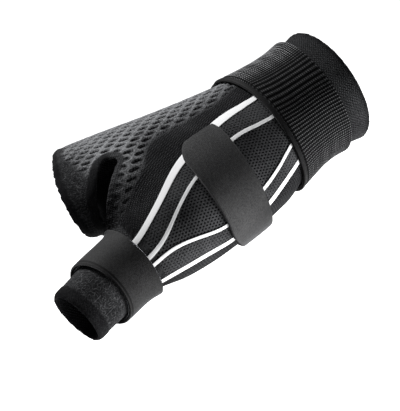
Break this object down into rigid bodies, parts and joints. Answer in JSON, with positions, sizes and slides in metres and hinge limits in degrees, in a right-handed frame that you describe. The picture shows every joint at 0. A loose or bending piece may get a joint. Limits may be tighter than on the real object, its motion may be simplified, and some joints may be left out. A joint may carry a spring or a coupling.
{
  "type": "thumb spica splint",
  "caption": "Knitted wrist, palm and thumb support with an elastic wrist strap, smooth straps round the thumb and across its base, white stripes and an opening over the web of the thumb.",
  "frame": {"origin": "the middle of the wrist, inside the wrist strap", "axes": "+X up the forearm out of the cuff, +Z out of the back of the hand, -Y towards the thumb side"},
  "size_m": [0.147, 0.1159, 0.0577],
  "materials": {
    "knit": "matte elastic knit",
    "webbing": "woven elastic webbing",
    "binding": "smooth binding tape",
    "strap": "smooth brushed cloth over foam",
    "stripe": "matte white yarn"
  },
  "bodies": {
    "root": {"knit_sleeve": "knit", "wrist_strap": "webbing", "wrist_strap_binding": "binding", "cross_strap": "strap", "thumb_strap": "strap", "stripe_back_wide": "stripe", "stripe_back_narrow": "stripe", "stripe_palm_narrow": "stripe", "stripe_palm_wide": "stripe"}
  },
  "joints": []
}
